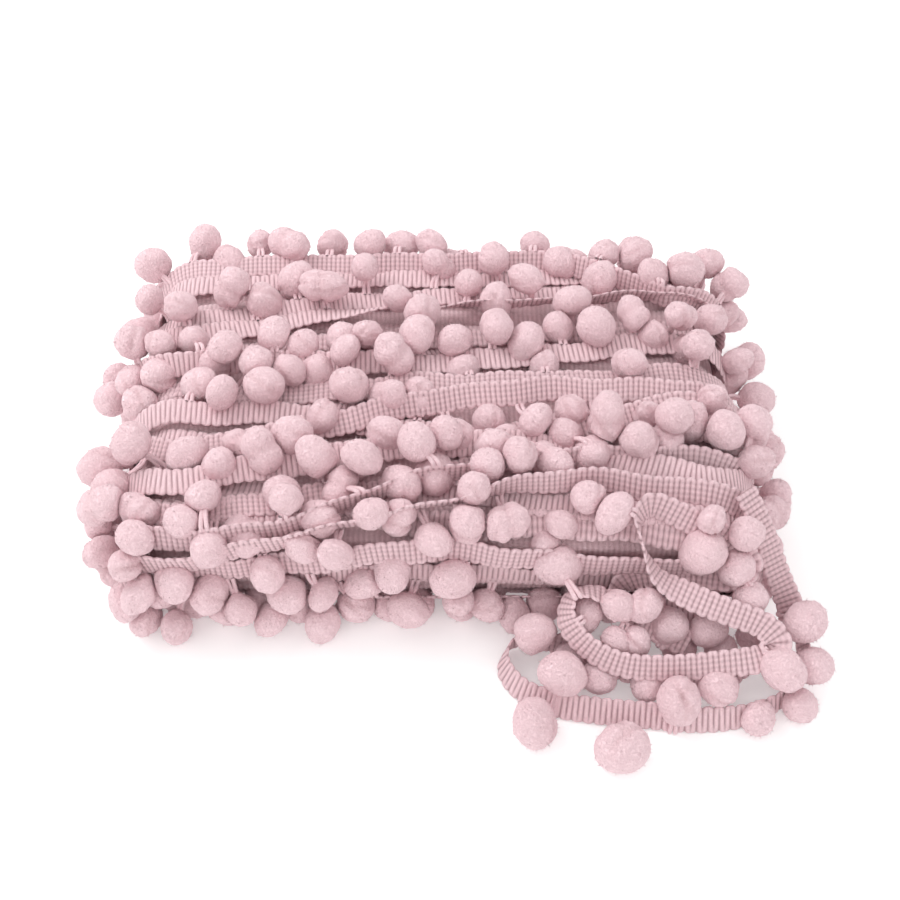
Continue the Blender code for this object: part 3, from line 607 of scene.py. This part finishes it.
def kept_wound(pompoms, frames, loose):
    """Leave out what would lie crushed under the hank or inside the loose end."""
    line = frames[:, :3]
    others = np.array([p["centre"] for p in loose])
    kept = []
    for pompom in pompoms:
        centre = pompom["centre"]
        beneath = centre[2] < 12.0 and abs(centre[1]) < 66.0 and abs(centre[0]) < 112.0
        near_tape = float(np.min(np.linalg.norm(line - centre, axis=1))) < pompom["r"] + 3.8
        near_ball = float(np.min(np.linalg.norm(others - centre, axis=1))) < pompom["r"] + 8.0
        if not (beneath or near_tape or near_ball):
            kept.append(pompom)
    return kept


def ball_pattern(count):
    """Directions and triangles of an even ball."""
    order = np.arange(count) + 0.5
    height = 1.0 - 2.0 * order / count
    angle = math.pi * (1.0 + math.sqrt(5.0)) * order
    flat = np.sqrt(1.0 - height ** 2)
    directions = np.column_stack([flat * np.cos(angle), flat * np.sin(angle), height])
    shape = bmesh.new()
    for direction in directions:
        shape.verts.new(direction)
    shape.verts.index_update()
    bmesh.ops.convex_hull(shape, input=shape.verts)
    bmesh.ops.recalc_face_normals(shape, faces=shape.faces)
    triangles = np.array([[vertex.index for vertex in face.verts] for face in shape.faces])
    shape.free()
    return directions, triangles


def felt_ball(directions, radius, seed, may_pinch):
    """Uneven felted ball about the origin: squashed, lumpy, creased, some pinched in two, with painted
    shade in the creases and pinch and a tone of its own.
    """
    dice = random.Random(seed)

    def any_way():
        return unit(np.array([dice.gauss(0, 1), dice.gauss(0, 1), dice.gauss(0, 1)]))

    axis = any_way()
    other = unit(np.cross(axis, any_way()))
    spin = np.column_stack([axis, other, np.cross(axis, other)])
    stretch = np.array([dice.uniform(1.0, 1.22), dice.uniform(0.88, 1.04), dice.uniform(0.80, 0.98)])
    local = directions @ spin
    swell = np.ones(len(directions))
    # Each ball's own tone, a little lighter or darker.
    painted_shade_and_tone = np.full(len(directions), dice.uniform(0.86, 1.0))
    for lump in LUMPS:
        for _ in range(6):
            wave = np.cos(dice.uniform(*lump["turns"]) * (local @ any_way()) + dice.uniform(0, 6))
            swell += dice.uniform(*lump["size"]) * wave
    if dice.random() < PINCHED_SHARE and may_pinch:
        pinch = np.exp(-(local[:, 0] / 0.22) ** 2)
        stretch[0] *= 1.14
        swell -= PINCH_DEPTH * pinch
        # Painted shade in the pinch's cleft.
        painted_shade_and_tone -= 0.25 * pinch
    for _ in range(dice.choice((0, 1, 2, 3))):
        way = any_way()
        reach = np.clip(local @ unit(np.cross(way, any_way())) + 0.1, 0.0, 1.0)
        crease = reach * np.exp(-((local @ way - dice.uniform(-0.4, 0.4)) / CREASE_WIDTH) ** 2)
        swell -= CREASE_DEPTH * crease
        # Painted shade along the crease.
        painted_shade_and_tone -= 0.45 * crease
    fuzz = np.random.default_rng(seed).normal(0.0, FUZZ, len(directions))
    points = local * stretch * (swell + fuzz)[:, None]
    for _ in range(3):
        way = any_way()
        over = np.clip(points @ way - dice.uniform(0.80, 0.95), 0.0, None)
        points = points - (0.4 * over)[:, None] * way
    return (points * radius) @ spin.T, painted_shade_and_tone


def pressed(points, index, centres, radii, lobes):
    """Flatten a ball where it meets its neighbours and the floor."""
    gaps = centres - centres[index]
    distance = np.linalg.norm(gaps, axis=1)
    near = np.where((distance > 0.01) & (distance < 1.12 * (radii + radii[index])))[0]
    for other in near:
        if lobes[index] and other == index - 1 or lobes[other] and other == index + 1:
            continue
        way = gaps[other] / distance[other]
        reach = (distance[other] ** 2 + radii[index] ** 2 - radii[other] ** 2) / (2.0 * distance[other])
        beyond = points @ way - (reach + 0.25)
        over = 0.5 * (beyond + np.sqrt(beyond ** 2 + 1.2))
        points = points - over[:, None] * way
    points = points + centres[index]
    points[:, 2] = np.maximum(points[:, 2], CLEAR_OF_FLOOR)
    return points


def fibres(points, centre, seed):
    """Short fibres that stand out of a felted ball, each a thin spike of four triangles."""
    dice = np.random.default_rng(seed)
    roots = points[dice.integers(0, len(points), FIBRES)]
    outward = unit_rows(roots - centre)
    lean = unit_rows(outward + 0.55 * dice.normal(size=(FIBRES, 3)))
    side = unit_rows(np.cross(lean, dice.normal(size=(FIBRES, 3))))
    other = np.cross(lean, side)
    length = FIBRE_LENGTH * dice.uniform(0.5, 1.3, FIBRES)[:, None]
    foot = roots - lean * 0.3
    corners = [foot + FIBRE_WIDTH * (side * math.cos(a) + other * math.sin(a)) for a in (0.0, 2.1, 4.2)]
    tip = roots + lean * length
    spikes = np.stack([*corners, tip], axis=1).reshape(-1, 3)
    spikes[:, 2] = np.maximum(spikes[:, 2], CLEAR_OF_FLOOR)
    first = 4 * np.arange(FIBRES)[:, None]
    corners_of = ((0, 2, 1), (0, 1, 3), (1, 2, 3), (2, 0, 3))
    triangles = np.vstack([first + np.array(corner) for corner in corners_of])
    return spikes, triangles, np.ones(len(spikes))


def pompom_shapes(pompoms, pattern, first_seed):
    centres = np.array([p["centre"] for p in pompoms])
    radii = np.array([p["r"] for p in pompoms])
    lobes = [p.get("lobe", False) for p in pompoms]
    directions, triangles = pattern
    shapes = []
    for i in range(len(pompoms)):
        points, painted_shade_and_tone = felt_ball(directions, radii[i], first_seed + i, "lobe" not in pompoms[i])
        points = pressed(points, i, centres, radii, lobes)
        shapes.append(merged([(points, triangles, painted_shade_and_tone), fibres(points, centres[i], first_seed + i)]))
    return shapes


def strand(start, bend, end, radius):
    """Round strand of yarn along a bent line."""
    t = np.linspace(0.0, 1.0, 8)[:, None]
    line = (1 - t) ** 2 * start + 2 * (1 - t) * t * bend + t ** 2 * end
    ahead = unit_rows(np.gradient(line, axis=0))
    side = unit_rows(np.cross(ahead, np.array([0.31, 0.52, 0.79])))
    other = np.cross(ahead, side)
    rings = []
    for k in range(6):
        angle = 2.0 * math.pi * k / 6
        rings.append(line + radius * (side * math.cos(angle) + other * math.sin(angle)))
    points = np.stack(rings, axis=1)
    points[:, :, 2] = np.maximum(points[:, :, 2], CLEAR_OF_FLOOR)
    count, around = points.shape[:2]
    return points.reshape(-1, 3), tube_quads(count, around, False), np.ones(count * around)


def loop_shapes(pompoms):
    """Two strands from the tape's edge into each pompom."""
    shapes = []
    for pompom in pompoms:
        if pompom.get("lobe"):
            continue
        reach = pompom["centre"] - pompom["root"]
        if np.linalg.norm(reach) > pompom["r"] + LOOP_REACH:
            continue
        end = pompom["centre"] - unit(reach) * (0.75 * pompom["r"])
        for way in (-1.0, 1.0):
            start = pompom["root"] - pompom["width"] * 0.8 + pompom["along"] * (1.1 * way)
            bend = pompom["root"] + pompom["width"] * 3.0 + pompom["along"] * (1.2 * way)
            shapes.append(strand(start, bend, end + pompom["along"] * (0.5 * way), STRAND_RADIUS))
    return shapes


def winding_core():
    """Body of the inner turns, seen only in the gaps: bands of ribbed tape side by side, with painted
    shade in the rib grooves and along the seams between bands.
    """
    ribs = int(round(2.0 * (RUN_END + END_REACH) / RIB_PITCH))
    stations = np.linspace(-RUN_END - END_REACH, RUN_END + END_REACH, 2 * ribs)
    around = np.linspace(-HALF_GIRTH, HALF_GIRTH, CORE_BANDS + 1)[:-1]
    vertices = []
    painted_shades_and_tones = []
    for i, x in enumerate(stations):
        beyond = min(max(abs(x) - RUN_END, 0.0) / END_REACH, 0.9995)
        pull = NEAR_LEFT_TUCK * beyond
        squash = math.sqrt(1.0 - beyond * beyond)
        rib = float(i % 2)
        for k, distance in enumerate(around):
            place, outward = section_point(distance + 3.0 * math.sin(0.021 * x + 0.4 * math.sin(0.05 * k)))
            band = BAND_RISES[k % 3] + 0.9 * math.sin(0.9 * k + 0.03 * x)
            inner = place - outward * ((CORE_INSET - band - 0.5 * rib) if place[2] > 5.0 else 1.5)
            z = HALF_HEIGHT + (inner[2] - HALF_HEIGHT) * squash
            tuck = pull * min(max((-inner[1] - 10.0) / 60.0, 0.0), 1.0) if x < 0.0 else 0.0
            along = x * (1.0 - CORE_INSET / (RUN_END + END_REACH)) + tuck
            vertices.append([along, inner[1], max(z, 0.9)])
            # Painted shade in the rib grooves and, darker still, along the seam between bands.
            painted_shades_and_tones.append((0.40 + 0.60 * rib) * (0.35 if k % 3 == 0 else 0.9))
    return np.array(vertices), tube_quads(len(stations), len(around), False), np.array(painted_shades_and_tones)


def node(tree, kind, **values):
    made = tree.nodes.new(kind)
    for key, value in values.items():
        if hasattr(made, key):
            setattr(made, key, value)
        else:
            made.inputs[key].default_value = value
    return made


def spread_noise(tree, place, grain, detail, low, high):
    """Noise of a given grain, its middle range spread from 0 to 1."""
    noise = node(tree, "ShaderNodeTexNoise", Scale=grain, Detail=detail, Roughness=0.72, Distortion=0.3)
    spread = node(tree, "ShaderNodeMapRange", **{"From Min": low, "From Max": high})
    tree.links.new(place.outputs["Object"], noise.inputs["Vector"])
    tree.links.new(noise.outputs["Fac"], spread.inputs["Value"])
    return spread.outputs["Result"]


def yarn_material(name, light, dark, painted_shade_colour, grain, depth, clumps):
    """Matt yarn: fine specks and softer clumps of colour, painted shade in grooves and creases, and a
    fibrous bump.
    """
    material = bpy.data.materials.new(name)
    material.use_nodes = True
    tree = material.node_tree
    shader = tree.nodes["Principled BSDF"]
    shader.inputs["Roughness"].default_value = 0.95
    shader.inputs["Sheen Weight"].default_value = 0.20
    shader.inputs["Sheen Roughness"].default_value = 0.5
    shader.inputs["Specular IOR Level"].default_value = 0.1
    place = node(tree, "ShaderNodeTexCoord")
    fine = spread_noise(tree, place, grain, 3.0, 0.40, 0.58)
    coarse = spread_noise(tree, place, 0.40 * grain, 3.0, 0.36, 0.62)
    tone = node(tree, "ShaderNodeMix", data_type="FLOAT")
    tone.inputs["Factor"].default_value = clumps
    tree.links.new(fine, tone.inputs["A"])
    tree.links.new(coarse, tone.inputs["B"])
    mix = node(tree, "ShaderNodeMix", data_type="RGBA")
    mix.inputs["A"].default_value = (*dark, 1.0)
    mix.inputs["B"].default_value = (*light, 1.0)
    tree.links.new(tone.outputs["Result"], mix.inputs["Factor"])
    # Painted shade: the attribute darkens the yarn toward the shade colour in grooves, notches, seams and
    # creases.
    painted_shade_and_tone = node(tree, "ShaderNodeAttribute", attribute_name="painted_shade_and_tone")
    painted_shade_mix = node(tree, "ShaderNodeMix", data_type="RGBA")
    painted_shade_mix.inputs["A"].default_value = (*painted_shade_colour, 1.0)
    tree.links.new(painted_shade_and_tone.outputs["Fac"], painted_shade_mix.inputs["Factor"])
    tree.links.new(mix.outputs["Result"], painted_shade_mix.inputs["B"])
    tree.links.new(painted_shade_mix.outputs["Result"], shader.inputs["Base Color"])
    bump = node(tree, "ShaderNodeBump", Strength=1.0, Distance=depth)
    tree.links.new(tone.outputs["Result"], bump.inputs["Height"])
    tree.links.new(bump.outputs["Normal"], shader.inputs["Normal"])
    return material


def dress(piece, material, slot, *nodes):
    piece.data.materials.clear()
    piece.data.materials.append(material)
    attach(piece, "root")
    if nodes:
        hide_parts(*nodes)


def build_trim():
    felt = yarn_material("pink_felt", FELT_LIGHT, FELT_DARK, FELT_PAINTED_SHADE, 1000.0, 0.00026, 0.20)
    weave = yarn_material("pink_weave", WEAVE_LIGHT, WEAVE_DARK, WEAVE_PAINTED_SHADE, 2000.0, 0.00015, 0.25)
    depths_lit_copy = yarn_material("pink_depths_lit_copy", DEPTHS_LIGHT, DEPTHS_DARK, DEPTHS_PAINTED_SHADE, 900.0, 0.0003, 0.25)
    line = loose_frames()
    loose = loose_pompoms(line)
    wound = []
    for turn in TURNS + INNER_TURNS:
        wound += turn_pompoms(turn)
    wound = kept_wound(settle(wound), line, loose)
    even = ball_pattern(BALL_POINTS)

    groups = [TURNS[0:4], TURNS[4:7], TURNS[7:10], TURNS[10:13]]
    for index, group in enumerate(groups):
        shapes = [wound_tape(turn, GRID_POINTS, RIBBED_POINTS) for turn in group]
        dress(mesh_piece("wound_tape_%d" % (index + 1), *merged(shapes)), weave, "wound_yarn",
              "wound_hank")
    shapes = [wound_tape(turn, INNER_GRID_POINTS, INNER_RIBBED_POINTS) for turn in INNER_TURNS]
    dress(mesh_piece("inner_tape", *merged(shapes)), weave, "wound_yarn")
    dress(mesh_piece("inner_turns", *winding_core()), depths_lit_copy, "wound_yarn")

    shapes = pompom_shapes(wound + loose, even, FIRST_SEED)
    share = (len(wound) + 1) // 2
    first_half = mesh_piece("wound_pompoms_1", *merged(shapes[:share]))
    dress(first_half, felt, "wound_yarn", "wound_hank")
    second_half = mesh_piece("wound_pompoms_2", *merged(shapes[share:len(wound)]))
    dress(second_half, felt, "wound_yarn", "wound_hank")
    dress(mesh_piece("wound_loops", *merged(loop_shapes(wound))), weave, "wound_yarn")

    tape = mesh_piece("loose_tape", *ribbed_tape(line, False, True, GRID_POINTS))
    balls = mesh_piece("loose_pompoms", *merged(shapes[len(wound):]))
    loops = mesh_piece("loose_loops", *merged(loop_shapes(loose)))
    dress(tape, weave, "loose_yarn", "loose_end")
    dress(balls, felt, "loose_yarn", "loose_end")
    dress(loops, weave, "loose_yarn", "loose_end")


def point_at(thing, target):
    thing.rotation_euler = (Vector(target) - thing.location).to_track_quat("-Z", "Y").to_euler()


def soft_light(name, location, target, size, power, colour):
    lamp = bpy.data.lights.new(name, "AREA")
    lamp.shape = "DISK"
    lamp.size = size
    lamp.energy = power
    lamp.color = colour
    light = bpy.data.objects.new(name, lamp)
    light.location = location
    bpy.context.scene.collection.objects.link(light)
    point_at(light, target)
    return light


def build_studio():
    floor_mesh = bpy.data.meshes.new("floor")
    floor_mesh.from_pydata([(-4, -4, 0), (4, -4, 0), (4, 4, 0), (-4, 4, 0)], [], [(0, 1, 2, 3)])
    floor = bpy.data.objects.new("floor", floor_mesh)
    bpy.context.scene.collection.objects.link(floor)
    floor.location.z = -0.0003
    paint = bpy.data.materials.new("floor_white")
    paint.use_nodes = True
    shader = paint.node_tree.nodes["Principled BSDF"]
    shader.inputs["Base Color"].default_value = (0.93, 0.935, 0.93, 1.0)
    shader.inputs["Roughness"].default_value = 0.9
    shader.inputs["Specular IOR Level"].default_value = 0.1
    shader.inputs["Emission Color"].default_value = (1.0, 1.0, 1.0, 1.0)
    shader.inputs["Emission Strength"].default_value = 0.22
    floor.data.materials.append(paint)

    world = bpy.data.worlds.new("studio")
    bpy.context.scene.world = world
    world.use_nodes = True
    world.node_tree.nodes["Background"].inputs["Color"].default_value = (1.0, 1.0, 1.0, 1.0)
    world.node_tree.nodes["Background"].inputs["Strength"].default_value = 1.0
    middle = (0.0, -0.02, 0.03)
    soft_light("key", (-0.45, 0.22, 0.62), middle, 0.45, 2.1, (1.0, 1.0, 1.0))
    soft_light("fill", (-0.30, -1.0, 0.80), middle, 0.8, 0.9, (1.0, 1.0, 1.0))
    bpy.context.scene.view_settings.view_transform = "Standard"


def build_camera():
    camera_data = bpy.data.cameras.new("camera")
    camera_data.lens = 50.0
    camera_data.sensor_width = 36.0
    camera = bpy.data.objects.new("camera", camera_data)
    elevation = math.radians(47.0)
    target = Vector((0.007, -0.045, 0.058))
    camera.location = target + Vector((0.0, -math.cos(elevation), math.sin(elevation))) * 0.5
    bpy.context.scene.collection.objects.link(camera)
    point_at(camera, target)
    bpy.context.scene.camera = camera


build_trim()
build_studio()
build_camera()
